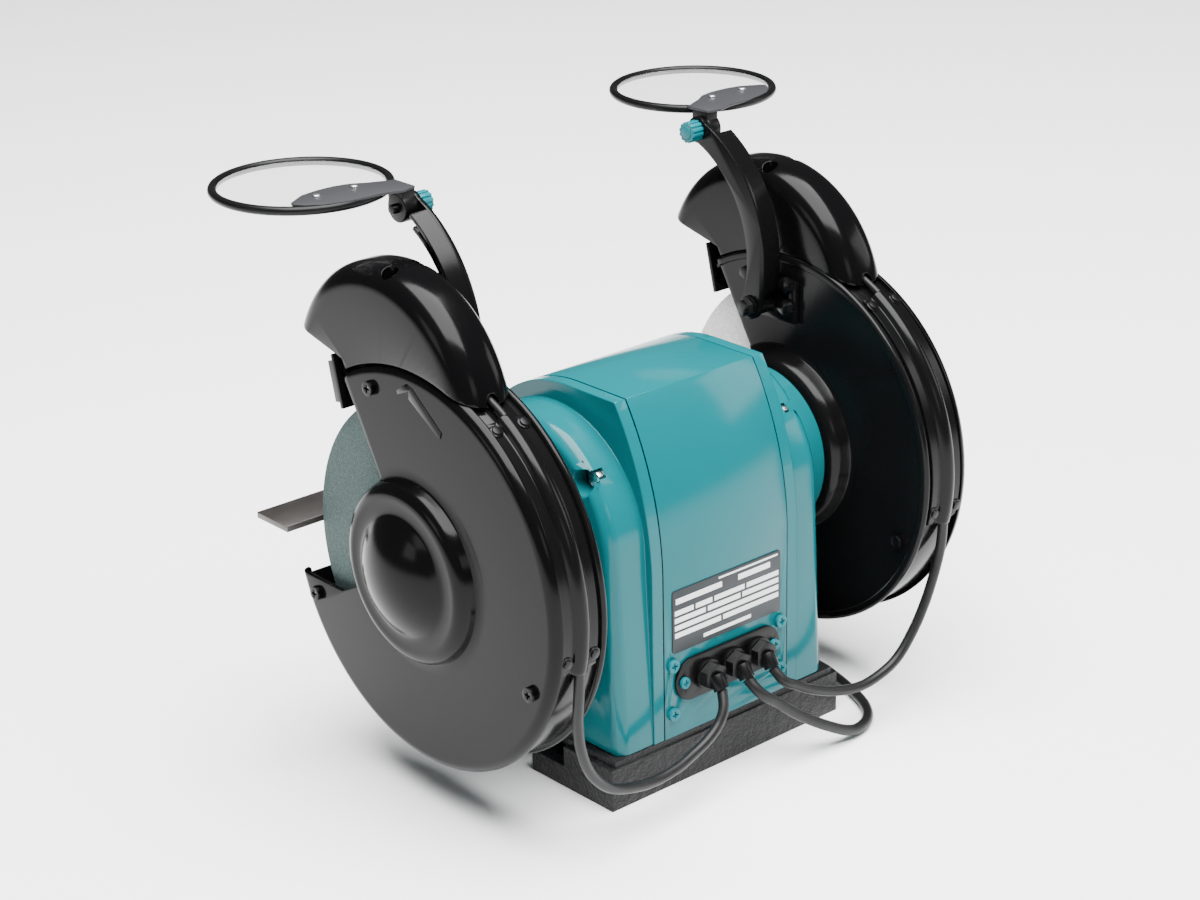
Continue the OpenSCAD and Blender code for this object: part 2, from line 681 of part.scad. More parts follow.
// angle piece on the guard with the pivot bolt of the arm
module arm_brackets() color("#1f2021") both() {
    difference() {
        union() {
            translate([plate_x - 4, pivot[0] - 12, pivot[1] - 10]) cube([3, 38, 28]);
            xcyl(7, arm_in + arm_t + gap, plate_x - 3, pivot[0], pivot[1]);
        }
        arm_bolts(2.6, plate_x - 5, plate_x + 1);
    }
    translate([plate_x - 4, 0, 0]) arm_bolts(2.5, -3, 7.5);
    for (h = bracket_holes) xhex(9, plate_x - 8, plate_x - 4, h[0], shaft_z + h[1]);
    xcyl(bolt_r, arm_in - gap, arm_in + arm_t + gap + 1, pivot[0], pivot[1]);
    xcyl(7, arm_in - gap - 1.5, arm_in - gap, pivot[0], pivot[1]);
    xhex(10, arm_in - gap - 5.5, arm_in - gap - 1.5, pivot[0], pivot[1]);
}

module shield_arm() {
    outer = arm_r - 1 + arm_w / 2;
    difference() {
        union() {
            xturn(arm_a[0], arm_a[1], arm_c[0], arm_c[1])
                translate([outer - arm_w, arm_in]) square([arm_w, arm_t]);
            xturn(arm_a[0] + 8, arm_a[1] - 9, arm_c[0], arm_c[1]) {
                translate([outer - 2.7, arm_in + 1]) square([2.5, arm_depth - 1]);
                translate([outer - arm_w + 0.2, arm_in + 1]) square([2.5, arm_depth / 2]);
            }
            for (p = [pivot, knob]) xcyl(arm_w / 2 + 1, arm_in, arm_in + arm_t, p[0], p[1]);
        }
        xcyl(bolt_r + fit, arm_in - 1, arm_in + arm_t + 1, pivot[0], pivot[1]);
        xcyl(bolt_r + fit, arm_in - 1, arm_in + arm_t + 1, knob[0], knob[1]);
    }
}

module shield_arm_right() color("#19191a") shield_arm();
module shield_arm_left() color("#19191a") side(-1) shield_arm();

module shield_frame() {
    difference() {
        union() {
            translate([ring_x, ring_y, ring_z]) rotate_extrude() difference() {
                translate([ring_d / 2 - ring_t, -ring_t / 2]) square(ring_t);
                translate([ring_d / 2 - ring_t - 1, -lens_t / 2]) square([lens_lip + 1, lens_t]);
            }
            // clip plate over the near side of the ring, and its neck to the pivot
            translate([0, 0, ring_z + lens_t / 2]) linear_extrude(clip_t) polygon([[ear_x, knob[0] + 6],
                [ear_x + 22, ring_y + ring_d / 2], [ring_x, ring_y + ring_d / 2 - 1],
                [ring_x + 20, ring_y + ring_d / 2 - 6], [ring_x + 32, ring_y + ring_d / 2 - 20],
                [ring_x + 18, ring_y + ring_d / 2 - 30], [ring_x - 6, ring_y + ring_d / 2 - 32],
                [ear_x + 16, ring_y + ring_d / 2 - 24], [ear_x, knob[0] - 14]]);
            translate([ear_x, knob[0] - 9, knob[1]]) cube([10, 15, ring_z + lens_t / 2 + 1 - knob[1]]);
            xcyl(9, ear_x, ear_x + 10, knob[0], knob[1]);
        }
        xcyl(bolt_r + fit, ear_x - 1, ear_x + 11, knob[0], knob[1]);
    }
    for (x = [-14, 13]) translate([ring_x + x, ring_y + ring_d / 2 - 22, ring_z + lens_t / 2 + clip_t])
        cylinder(r = 2.5, h = 1.2);
}

module shield_frame_right() color("#17181a") shield_frame();
module shield_frame_left() color("#17181a") side(-1) shield_frame();

module shield_lens() translate([ring_x, ring_y, ring_z - lens_t / 2])
    cylinder(r = ring_d / 2 - ring_t + lens_lip, h = lens_t);

module shield_lens_right() color([0.85, 0.92, 0.92, 0.4]) shield_lens();
module shield_lens_left() color([0.85, 0.92, 0.92, 0.4]) side(-1) shield_lens();

// knurled knob whose stud clamps the shield to the arm
module shield_knob() {
    xcyl(6.5, arm_in - 9.5, arm_in - gap, knob[0], knob[1]);
    for (a = [0:30:330]) translate([0, 6.3 * cos(a), 6.3 * sin(a)])
        xcyl(1.2, arm_in - 8.5, arm_in - 1.5, knob[0], knob[1], $fn = 16);
    xcyl(bolt_r, arm_in - 5, ear_x + 14, knob[0], knob[1]);
}

module shield_knob_right() color("#1fa3b0") shield_knob();
module shield_knob_left() color("#1fa3b0") side(-1) shield_knob();

// ---- switch and wiring ----

module switch_body() color("#1c1d1f") difference() {
    union() {
        translate([-21, switch_y - 3, gland_z - 20]) cube([42, 3, 40]);
        translate([-16.5, switch_y, gland_z - 15.5]) cube([33, 24, 31]);
    }
    translate([-9, switch_y - 4, gland_z - 12.5]) cube([18, 14, 25]);
    xcyl(pin_r + fit, -11, 11, switch_y + 1, gland_z);
}

// rocker cap that tips about a pin along X
module switch_rocker() color("#b3272b") {
    translate([0, switch_y + 1, gland_z]) xplate(-8.5, 8.5) polygon([[-4, 0], [-5.8, 10.3], [-2, 10.8], [6, 5],
        [6, -5], [-2, -10.8], [-5.8, -10.3]]);
    xcyl(pin_r, -10.5, 10.5, switch_y + 1, gland_z);
}

module capacitor() color("#c7c9cb") {
    xcyl(cap_r, -34, 34, -32, base_h + cap_r + 2);
    translate([-34, -38, base_h]) cube([68, 12, 8]);
}

module terminal_block() color("#dedbd0") translate([-26, 26, base_h]) difference() {
    cube([52, 22, 16]);
    for (x = [6.5:13:46]) translate([x, 11, 6]) cylinder(r = 2.5, h = 12);
}

module nameplate() color("#3a3d42") translate([-45.5, body_y, shaft_z - 67.5]) cube([91, 0.8, 41]);

module gland_plate() color("#1e1f21") difference() {
    translate([0, body_y, gland_z]) rotate([-90, 0, 0]) {
        for (x = [-38, 38]) translate([x * 0.79, 0, 0]) cylinder(r = 14, h = 2);
        translate([-30, -14, 0]) cube([60, 28, 2]);
    }
    for (x = [-1, 1]) ycyl(1.8, body_y - 1, plate_y + 1, x * 38, gland_z);
    for (x = gland_x) ycyl(6, body_y - 1, plate_y + 1, x, gland_z);
}

// nose of a gland: its end face looks out and down along the cord
function nose_dir() = [0, cos(gland_tilt), -sin(gland_tilt)];
function nose_end(x) = [x, nose_y - 4, gland_z] + nose_l * nose_dir();

module cable_glands() color("#161718") for (x = gland_x) {
    ycyl(6, body_y - 6, plate_y + 1, x, gland_z);
    ycyl(9.6, plate_y, plate_y + 3, x, gland_z);
    translate([x, plate_y + 3, gland_z]) rotate([-90, 30, 0]) cylinder(r = 9, h = 6, $fn = 6);
    translate([x, nose_y - 4, gland_z] - 1.5 * nose_dir()) rotate([-90 - gland_tilt, 0, 0])
        cylinder(r = 5, h = nose_l + 1.5);
}

module rear_screws() color("#28979f") {
    for (x = [-1, 1], z = [-19.5, 13]) {
        ypan(4.2, 2.6, body_y, x * 45.5, gland_z + z);
        ycyl(1.5, body_y - 6, body_y, x * 45.5, gland_z + z);
    }
    for (x = [-1, 1]) {
        ypan(3.6, 2.4, plate_y, x * 38, gland_z);
        ycyl(1.5, body_y - 6, plate_y, x * 38, gland_z);
    }
}

// ---- cords ----

module cord(route, r, start, end, d1)
    tube(smooth(concat([start], route, [end]), 2), r, nose_dir(), d1);

function flip(p) = [-p[0], p[1], p[2]];

module lamp_cords() color("#222325") {
    cord(right_route, lamp_cord_d / 2, nose_end(gland_x[0]), lamp_end, -conduit_dir);
    cord(left_route, lamp_cord_d / 2, nose_end(gland_x[2]), flip(lamp_end), -conduit_dir);
}

// the cord runs into the coil along its outside, and leaves it for the plug
module mains_cord() color("#1d1e20") {
    cord(mains_route, cord_d / 2, nose_end(gland_x[1]), [coil_c[0] - 20, coil_c[1] + coil_d / 2 - 2, 6], [1, 0, 0]);
    tube(smooth([[coil_c[0] + 22, coil_c[1] + coil_d / 2 - 4, 14], [plug_c[0] - 60, plug_c[1] + 2, 16],
        [plug_c[0] - 40, plug_c[1], 18.5], [plug_c[0] - 22, plug_c[1], 19]], 2), cord_d / 2, unit([1, -0.3, 0.1]),
        [1, 0, 0]);
}

module mains_coil() color("#1d1e20") translate([coil_c[0], coil_c[1], 0]) rotate_extrude()
    translate([coil_d / 2 - coil_w / 2, 0.5]) square([coil_w, coil_h]);

// plug: a tapered body with two round pins, lying on the bench
module mains_plug() color("#191a1b") translate([plug_c[0], plug_c[1], 19]) {
    rotate([0, 90, 0]) cylinder(r = 18.5, h = 12);
    rotate([0, -90, 0]) cylinder(r1 = 16, r2 = 7, h = 24);
    for (y = [-9.5, 9.5]) translate([12, y, 0]) rotate([0, 90, 0]) cylinder(d = 4.8, h = 19);
}

base_casting();
motor_housing();
end_bell_right();
end_bell_left();
stator_core();
stator_windings();
tie_bolts();
bearing_outer_races();
bearing_inner_races();
bearing_balls();
spindle();
rotor_core();
wheel_right();
wheel_left();
inner_flanges();
outer_flanges();
spindle_nuts();
guard_body_right();
guard_body_left();
guard_cover_right();
guard_cover_left();
guard_cover_screws();
guard_bolts();
conduit_right();
conduit_left();
conduit_screws();
lamp_hood_right();
lamp_hood_left();
hood_screws();
lamp_sockets();
lamp_bulbs();
deflector_right();
deflector_left();
deflector_screws();
rest_brackets();
tool_rest_right();
tool_rest_left();
rest_bolts();
arm_brackets();
shield_arm_right();
shield_arm_left();
shield_frame_right();
shield_frame_left();
shield_lens_right();
shield_lens_left();
shield_knob_right();
shield_knob_left();
switch_body();
switch_rocker();
capacitor();
terminal_block();
nameplate();
gland_plate();
cable_glands();
rear_screws();
mains_cord();
mains_coil();
mains_plug();
lamp_cords();
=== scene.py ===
import json
import math
import bpy
import bmesh
from mathutils import Matrix, Vector


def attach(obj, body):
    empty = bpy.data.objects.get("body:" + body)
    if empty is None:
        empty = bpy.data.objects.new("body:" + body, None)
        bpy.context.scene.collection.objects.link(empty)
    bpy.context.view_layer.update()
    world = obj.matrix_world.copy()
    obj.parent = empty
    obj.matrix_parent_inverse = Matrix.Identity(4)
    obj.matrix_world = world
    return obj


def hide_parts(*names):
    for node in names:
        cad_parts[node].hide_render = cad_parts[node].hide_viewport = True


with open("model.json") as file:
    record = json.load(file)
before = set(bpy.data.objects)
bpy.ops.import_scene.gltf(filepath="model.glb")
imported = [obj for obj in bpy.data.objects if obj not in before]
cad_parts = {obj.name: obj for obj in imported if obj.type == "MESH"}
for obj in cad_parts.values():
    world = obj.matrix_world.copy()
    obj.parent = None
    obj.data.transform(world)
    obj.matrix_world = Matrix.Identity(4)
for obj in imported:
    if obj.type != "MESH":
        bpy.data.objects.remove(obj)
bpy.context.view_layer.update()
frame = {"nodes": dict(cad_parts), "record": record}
nodes = frame["nodes"]
bodyOf = {node: body for body, members in frame["record"]["behaviour"]["bodies"].items() for node in members}
print("frame loaded:", len(nodes), "nodes")

mm = 0.001
shaftZ = 155


# ---- small helpers ----

def point(*v):
    return Vector(v) * mm


def pickNothing():
    if bpy.context.object and bpy.context.object.mode != "OBJECT":
        bpy.ops.object.mode_set(mode="OBJECT")
    bpy.ops.object.select_all(action="DESELECT")


def pick(obj):
    pickNothing()
    obj.select_set(True)
    bpy.context.view_layer.objects.active = obj


def edit(obj, all=True):
    pick(obj)
    bpy.ops.object.mode_set(mode="EDIT")
    bpy.ops.mesh.select_all(action="SELECT" if all else "DESELECT")


def done():
    bpy.ops.object.mode_set(mode="OBJECT")


def selectFaces(obj, test):  # test gets a face's centre in mm and its normal
    bpy.ops.mesh.select_all(action="DESELECT")
    bpy.ops.mesh.select_mode(type="FACE")
    work = bmesh.from_edit_mesh(obj.data)
    for face in work.faces:
        face.select_set(test(face.calc_center_median() / mm, face.normal))
    bmesh.update_edit_mesh(obj.data)


def selectEdges(obj, test):  # test gets the two ends in mm and the angle between the faces in degrees
    bpy.ops.mesh.select_all(action="DESELECT")
    bpy.ops.mesh.select_mode(type="EDGE")
    work = bmesh.from_edit_mesh(obj.data)
    for edge in work.edges:
        a, b = (v.co / mm for v in edge.verts)
        turn = math.degrees(edge.calc_face_angle(0))
        edge.select_set(test(a, b, turn))
    bmesh.update_edit_mesh(obj.data)


def addModifier(obj, kind, **settings):
    pick(obj)
    modifier = obj.modifiers.new(kind.title(), kind)
    for key, value in settings.items():
        setattr(modifier, key, value)
    bpy.ops.object.modifier_apply(modifier=modifier.name)


def roundEdges(obj, width, segments=3, angle=35, clamp=False):
    addModifier(obj, "BEVEL", width=width * mm, segments=segments, limit_method="ANGLE",
                angle_limit=math.radians(angle), use_clamp_overlap=clamp, harden_normals=False)


def smoothBy(obj, angle=35):
    pick(obj)
    bpy.ops.object.shade_smooth_by_angle(angle=math.radians(angle))


def settle(obj):  # its place goes into its mesh
    pick(obj)
    bpy.ops.object.transform_apply(location=True, rotation=True, scale=True)


def rename(obj, name):
    obj.name = name
    obj.data.name = name
    return obj


def merged(name, parts):
    pickNothing()
    for part in parts:
        part.select_set(True)
    bpy.context.view_layer.objects.active = parts[0]
    if len(parts) > 1:
        bpy.ops.object.join()
    return rename(bpy.context.object, name)


def copyOf(obj, name):
    twin = bpy.data.objects.new(name, obj.data.copy())
    bpy.context.scene.collection.objects.link(twin)
    return twin


def mirrored(obj, name):
    twin = copyOf(obj, name)
    twin.scale.x = -1
    settle(twin)
    edit(twin)
    bpy.ops.mesh.normals_make_consistent(inside=False)
    done()
    return twin


def cylinder(name, radius, start, end, sides=48):  # between two points in mm
    a, b = Vector(start), Vector(end)
    pickNothing()
    bpy.ops.mesh.primitive_cylinder_add(vertices=sides, radius=radius * mm, depth=(b - a).length * mm,
                                        location=(a + b) / 2 * mm)
    obj = bpy.context.object
    obj.rotation_mode = "QUATERNION"
    obj.rotation_quaternion = (b - a).to_track_quat("Z", "Y")
    settle(obj)
    return rename(obj, name)


def block(name, low, high):
    low, high = Vector(low), Vector(high)
    pickNothing()
    bpy.ops.mesh.primitive_cube_add(size=1, location=(low + high) / 2 * mm)
    obj = bpy.context.object
    obj.scale = (high - low) * mm
    settle(obj)
    return rename(obj, name)


def chain(name, points):  # a line of vertices through points in mm
    pickNothing()
    bpy.ops.mesh.primitive_plane_add(size=mm, location=(0, 0, 0))
    obj = bpy.context.object
    edit(obj)
    work = bmesh.from_edit_mesh(obj.data)
    work.verts.ensure_lookup_table()
    work.verts[0].select_set(False)
    bmesh.update_edit_mesh(obj.data)
    bpy.ops.mesh.delete(type="VERT")
    work = bmesh.from_edit_mesh(obj.data)
    work.verts.ensure_lookup_table()
    work.verts[0].co = Vector(points[0]) * mm
    bmesh.update_edit_mesh(obj.data)
    bpy.ops.mesh.select_all(action="SELECT")
    for a, b in zip(points, points[1:]):
        step = (Vector(b) - Vector(a)) * mm
        bpy.ops.mesh.extrude_vertices_move(TRANSFORM_OT_translate={"value": step})
    done()
    return rename(obj, name)


def lathe(name, outline, y=0, z=shaftZ, start=0, sweep=360, steps=96, closed=False):
    # outline is (radius, x) in mm; it is turned about the axis along X through (y, z), from the back (+Y) upwards
    a = math.radians(start)
    ring = [(x, y + r * math.cos(a), z + r * math.sin(a)) for r, x in outline]
    if closed:
        ring.append(ring[0])
    obj = chain(name, ring)
    edit(obj)
    bpy.ops.mesh.spin(steps=steps, angle=-math.radians(sweep), center=point(0, y, z), axis=(1, 0, 0))
    bpy.ops.mesh.select_all(action="SELECT")
    bpy.ops.mesh.remove_doubles(threshold=1e-6)
    bpy.ops.mesh.select_mode(type="EDGE")
    if closed and sweep < 360:
        bpy.ops.mesh.select_all(action="DESELECT")
        bpy.ops.mesh.select_non_manifold()
        bpy.ops.mesh.edge_face_add()
        bpy.ops.mesh.select_all(action="SELECT")
    bpy.ops.mesh.normals_make_consistent(inside=False)
    done()
    return obj


def cut(obj, cutter, operation="DIFFERENCE"):
    addModifier(obj, "BOOLEAN", object=cutter, operation=operation, solver="EXACT")
    bpy.data.objects.remove(cutter)


def prism(name, outline, low, high, axis="X"):  # an outline in mm pushed along an axis
    def place(u, v, w):
        return {"X": (w, u, v), "Y": (u, w, v), "Z": (u, v, w)}[axis]
    obj = chain(name, [place(u, v, low) for u, v in outline] + [place(*outline[0], low)])
    edit(obj)
    bpy.ops.mesh.remove_doubles(threshold=1e-6)
    bpy.ops.mesh.edge_face_add()
    way = Vector(place(0, 0, high - low)) * mm
    bpy.ops.mesh.extrude_region_move(TRANSFORM_OT_translate={"value": way})
    bpy.ops.mesh.select_all(action="SELECT")
    bpy.ops.mesh.normals_make_consistent(inside=False)
    done()
    return obj


def arcPoints(cy, cz, r, a0, a1, n):
    return [(cy + r * math.cos(math.radians(a0 + (a1 - a0) * i / n)),
             cz + r * math.sin(math.radians(a0 + (a1 - a0) * i / n))) for i in range(n + 1)]


def finishPiece(obj, material, body, *stands, slot=None):
    obj.data.materials.clear()
    obj.data.materials.append(material)
    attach(obj, body)
    if stands:
        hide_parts(*stands)
    return obj


def refined(name, node, width, segments=2, angle=35, smooth=35):
    # a copy of a node with its edges rounded
    obj = copyOf(nodes[node], name)
    edit(obj)
    bpy.ops.mesh.remove_doubles(threshold=2e-6)
    bpy.ops.mesh.dissolve_limited(angle_limit=math.radians(0.4))
    done()
    if width:
        roundEdges(obj, width, segments, angle, clamp=True)
    smoothBy(obj, smooth)
    return obj


# ---- materials ----

class Field:  # an output socket that does arithmetic
    def __init__(self, tree, socket):
        self.tree, self.socket = tree, socket

    def math(self, operation, *others, swap=False):
        node = self.tree.nodes.new("ShaderNodeMath")
        node.operation = operation
        values = [self, *others]
        if swap:
            values.reverse()
        for entry, value in zip(node.inputs, values):
            if isinstance(value, Field):
                self.tree.links.new(value.socket, entry)
            else:
                entry.default_value = value
        return Field(self.tree, node.outputs[0])

    def __add__(self, other): return self.math("ADD", other)
    def __radd__(self, other): return self.math("ADD", other)
    def __sub__(self, other): return self.math("SUBTRACT", other)
    def __rsub__(self, other): return self.math("SUBTRACT", other, swap=True)
    def __mul__(self, other): return self.math("MULTIPLY", other)
    def __rmul__(self, other): return self.math("MULTIPLY", other)
    def __lt__(self, other): return self.math("LESS_THAN", other)


class Finish:  # a material with one Principled shader
    def __init__(self, name, **constants):
        self.material = bpy.data.materials.new(name)
        self.material.use_nodes = True
        self.tree = self.material.node_tree
        self.shader = self.tree.nodes["Principled BSDF"]
        for key, value in constants.items():
            self.shader.inputs[key.replace("_", " ")].default_value = value
        self.place = self.node("ShaderNodeTexCoord", out="Object")

    def node(self, kind, settings=None, out=0, **inputs):
        node = self.tree.nodes.new(kind)
        for key, value in (settings or {}).items():
            if key == "stops":
                ramp = node.color_ramp
                while len(ramp.elements) < len(value):
                    ramp.elements.new(0.5)
                for element, (where, tone) in zip(ramp.elements, value):
                    element.position = where
                    element.color = (*tone, 1) if isinstance(tone, tuple) else (tone, tone, tone, 1)
            else:
                setattr(node, key, value)
        for key, value in inputs.items():
            entry = node.inputs[int(key[1:])] if key[1:].isdigit() else node.inputs[key.replace("_", " ")]
            if isinstance(value, Field):
                self.tree.links.new(value.socket, entry)
            else:
                entry.default_value = value
        return Field(self.tree, node.outputs[out])

    def noise(self, size, detail=2, rough=0.5, vector=None):  # size in mm
        return self.node("ShaderNodeTexNoise", Vector=vector or self.place, Scale=1000 / size, Detail=detail,
                         Roughness=rough)

    def ramp(self, value, *stops):
        return self.node("ShaderNodeValToRGB", {"stops": stops}, Fac=value)

    def blend(self, mask, first, second):
        return self.node("ShaderNodeMix", {"data_type": "RGBA"}, out=2, i0=mask, i6=first, i7=second)

    def bump(self, height, depth, strength=1.0, normal=None):  # depth in mm
        extra = {"Normal": normal} if normal else {}
        return self.node("ShaderNodeBump", Height=height, Distance=depth * mm, Strength=strength, **extra)

    def feed(self, **links):
        for key, value in links.items():
            self.tree.links.new(value.socket, self.shader.inputs[key.replace("_", " ")])
        return self.material


def tone(*rgb):
    return (*rgb, 1)


def enamel(name, colour, darker, rough, grain=0.012, coat=0.0, spread=0.05, shine=0.5, seamShadowAt=0):
    # sprayed paint: a faint orange peel, and a slight change of tone and gloss; optionally a painted shadow line where
    # the shells meet
    paint = Finish(name, Coat_Weight=coat, Coat_Roughness=0.08, Specular_IOR_Level=shine)
    cloud = paint.noise(60, 3)
    peel = paint.noise(1.6, 1)
    dust = paint.ramp(paint.noise(9, 5, 0.7), (0.55, 0.0), (0.8, 1.0))
    skin = paint.blend(cloud, tone(*darker), tone(*colour))
    if seamShadowAt:  # painted shadow: a near-black line painted into the colour where the shells meet, at this distance from the middle in mm
        across = paint.node("ShaderNodeSeparateXYZ", out="X", Vector=paint.place).math("ABSOLUTE") - seamShadowAt * mm
        skin = paint.blend(across.math("ABSOLUTE") < 0.42 * mm, skin, tone(0.0, 0.006, 0.008))
    return paint.feed(Base_Color=skin, Roughness=rough + spread * cloud + 0.06 * dust,
                      Normal=paint.bump(peel, grain, 0.6))


def casting(name, colour, rough, depth, size=1.6):
    # sand-cast iron under thick paint
    iron = Finish(name, Specular_IOR_Level=0.22)
    lumps = iron.noise(size * 3, 4, 0.65)
    grit = iron.noise(size, 3, 0.6)
    height = 0.6 * lumps + 0.4 * grit
    worn = iron.ramp(iron.noise(14, 6, 0.75), (0.6, 0.0), (0.72, 1.0))
    light = tuple(c * 2.2 + 0.01 for c in colour)
    return iron.feed(Base_Color=iron.blend(0.35 * worn, tone(*colour), tone(*light)),
                     Roughness=rough + 0.15 * grit, Normal=iron.bump(height, depth))


def metal(name, colour, rough, lines=0.0, size=0.35):
    # turned or plated steel, with fine marks
    steel = Finish(name, Metallic=1.0)
    marks = steel.noise(size, 3, 0.7)
    stain = steel.noise(12, 4, 0.7)
    return steel.feed(Base_Color=steel.blend(stain, tone(*[c * 0.72 for c in colour]), tone(*colour)),
                      Roughness=rough + 0.18 * stain + 0.05 * marks, Normal=steel.bump(marks, 0.004 + lines))


def plastic(name, colour, rough, grain=0.02, size=0.5, coat=0.0, shine=0.5):
    moulding = Finish(name, Coat_Weight=coat, Specular_IOR_Level=shine)
    spark = moulding.noise(size, 2)
    cloud = moulding.noise(25, 3)
    return moulding.feed(Base_Color=moulding.blend(cloud, tone(*[c * 0.86 for c in colour]), tone(*colour)),
                         Roughness=rough + 0.08 * cloud, Normal=moulding.bump(spark, grain, 0.5))


def abrasive(name, pale, dark, speck):
    # bonded grit: grains of several tones with open pores
    stone = Finish(name, Specular_IOR_Level=0.25)
    grains = stone.node("ShaderNodeTexVoronoi", out="Color", Vector=stone.place, Scale=1 / (0.9 * mm))
    pores = stone.node("ShaderNodeTexVoronoi", out="Distance", Vector=stone.place, Scale=1 / (1.3 * mm))
    mix = stone.node("ShaderNodeSeparateColor", Color=grains)
    body = stone.blend(mix, tone(*dark), tone(*pale))
    sparkle = stone.ramp(stone.noise(0.7, 2), (0.62, 0.0), (0.7, 1.0))
    return stone.feed(Base_Color=stone.blend(0.6 * sparkle, body, tone(*speck)),
                      Roughness=0.78 + 0.15 * mix, Normal=stone.bump(pores, 0.25, 0.7))


def rubber(name, colour, rough):
    sleeve = Finish(name, Specular_IOR_Level=0.2)
    scuff = sleeve.noise(4, 5, 0.7)
    fine = sleeve.noise(0.4, 2)
    return sleeve.feed(Base_Color=sleeve.blend(scuff, tone(*colour), tone(*[c * 1.9 + 0.004 for c in colour])),
                       Roughness=rough + 0.15 * scuff, Normal=sleeve.bump(fine, 0.02, 0.4))


finishes = {
    # the teal carries a painted shadow line along the joints between the housing and the end bells
    "teal": enamel("tealEnamel", (0.0012, 0.100, 0.114), (0.001, 0.092, 0.106), 0.13, spread=0.02, shine=0.2,
                   seamShadowAt=52.05),
    "gloss": enamel("glossBlackEnamel", (0.0022, 0.0022, 0.0024), (0.0018, 0.0018, 0.002), 0.15, 0.006,
                    spread=0.02, shine=0.1),
    "satin": enamel("satinBlackEnamel", (0.0035, 0.0035, 0.0037), (0.0026, 0.0026, 0.0028), 0.17, 0.008,
                    spread=0.03, shine=0.12),
    "casting": casting("blackCasting", (0.005, 0.005, 0.0055), 0.32, 2.2, 2.2),
    "steel": metal("turnedSteel", (0.60, 0.61, 0.62), 0.22),
    "zinc": metal("zincPlate", (0.78, 0.80, 0.82), 0.16),
    "laminations": metal("laminatedSteel", (0.34, 0.35, 0.36), 0.4, 0.02),
    "blackSteel": metal("blackOxideSteel", (0.018, 0.018, 0.019), 0.26),
    "greenStone": abrasive("greenGrit", (0.062, 0.094, 0.090), (0.034, 0.054, 0.051), (0.15, 0.20, 0.19)),
    "whiteStone": abrasive("whiteGrit", (0.86, 0.86, 0.84), (0.62, 0.62, 0.60), (0.95, 0.95, 0.93)),
    "worn": metal("wornSteel", (0.13, 0.12, 0.115), 0.36),
    "knob": plastic("tealPlastic", (0.001, 0.125, 0.150), 0.28, shine=0.2),
    "black": plastic("blackPlastic", (0.003, 0.003, 0.0033), 0.30, shine=0.15),
    "clip": plastic("greyClip", (0.030, 0.030, 0.033), 0.4, shine=0.2),
    "red": plastic("redPlastic", (0.45, 0.012, 0.012), 0.3),
    "cream": plastic("creamPlastic", (0.66, 0.62, 0.52), 0.42),
    "copper": enamel("varnishedCopper", (0.42, 0.13, 0.045), (0.24, 0.07, 0.03), 0.3, 0.3),
    "can": metal("drawnAluminium", (0.72, 0.73, 0.74), 0.28),
    "plate": enamel("plateGrey", (0.020, 0.024, 0.027), (0.016, 0.019, 0.022), 0.32, 0.005, shine=0.2),
    "print": plastic("whitePrint", (0.78, 0.80, 0.80), 0.35),
    "cord": rubber("cordSleeve", (0.004, 0.004, 0.0043), 0.32),
}

clear = Finish("clearLens", Transmission_Weight=1.0, IOR=1.45, Alpha=0.25)
clear.feed(Roughness=0.03 + 0.05 * clear.noise(20, 3),
           Base_Color=clear.blend(clear.noise(30, 2), tone(0.93, 0.96, 0.96), tone(0.97, 0.99, 0.99)))
clear.material.surface_render_method = "BLENDED"
finishes["clear"] = clear.material
frost = Finish("frostedBulb", Transmission_Weight=0.5, IOR=1.45)
frost.feed(Roughness=0.35 + 0.1 * frost.noise(3, 2),
           Base_Color=frost.blend(frost.noise(8, 2), tone(0.90, 0.88, 0.82), tone(0.95, 0.94, 0.90)))
finishes["bulb"] = frost.material

nodeFinish = {
    "base_casting": "casting", "motor_housing": "teal", "end_bell": "teal", "stator_core": "laminations",
    "stator_windings": "copper", "tie_bolts": "zinc", "bearing": "steel", "spindle_nuts": "zinc", "spindle": "steel",
    "rotor_core": "laminations", "wheel_right": "greenStone", "wheel_left": "whiteStone", "inner_flanges": "steel",
    "outer_flanges": "steel", "guard_body": "satin", "guard_cover_screws": "blackSteel", "guard_cover": "gloss",
    "guard_bolts": "zinc", "conduit_screws": "blackSteel", "conduit": "satin", "lamp_hood": "gloss",
    "hood_screws": "blackSteel", "lamp_sockets": "cream", "lamp_bulbs": "bulb", "deflector_screws": "blackSteel",
    "deflector": "satin", "rest_brackets": "satin", "rest_bolts": "blackSteel", "tool_rest": "worn",
    "arm_brackets": "satin", "shield_arm": "satin", "shield_frame": "black", "shield_lens": "clear",
    "shield_knob": "knob", "switch_body": "black", "switch_rocker": "red", "capacitor": "can",
    "terminal_block": "cream", "nameplate": "plate", "gland_plate": "black", "cable_glands": "black",
    "rear_screws": "knob", "mains_cord": "cord", "mains_coil": "cord", "mains_plug": "black", "lamp_cords": "cord",
}


def finishOf(node):
    for key in sorted(nodeFinish, key=len, reverse=True):
        if node.startswith(key):
            return finishes[nodeFinish[key]]


for name, obj in nodes.items():
    obj.data.materials.clear()
    obj.data.materials.append(finishOf(name))
    smoothBy(obj, 30)
print("finishes made")


# ---- camera and room ----

cameraView = {"place": (1028.9, 1145.2, 804.1), "back": (0.61073, 0.69804, 0.37391), "roll": -1.187, "lens": 80.507}
back = Vector(cameraView["back"]).normalized()
right = (-back).cross(Vector((0, 0, 1))).normalized()
up = right.cross(-back)
turn = math.radians(cameraView["roll"])
right, up = right * math.cos(turn) + up * math.sin(turn), up * math.cos(turn) - right * math.sin(turn)
lensData = bpy.data.cameras.new("camera")
camera = bpy.data.objects.new("camera", lensData)
bpy.context.scene.collection.objects.link(camera)
pose = Matrix((right, up, back)).transposed().to_4x4()
pose.translation = Vector(cameraView["place"]) * mm
camera.matrix_world = pose
lensData.sensor_width, lensData.lens = 36, cameraView["lens"]
lensData.clip_start, lensData.clip_end = 0.05, 60
bpy.context.scene.camera = camera

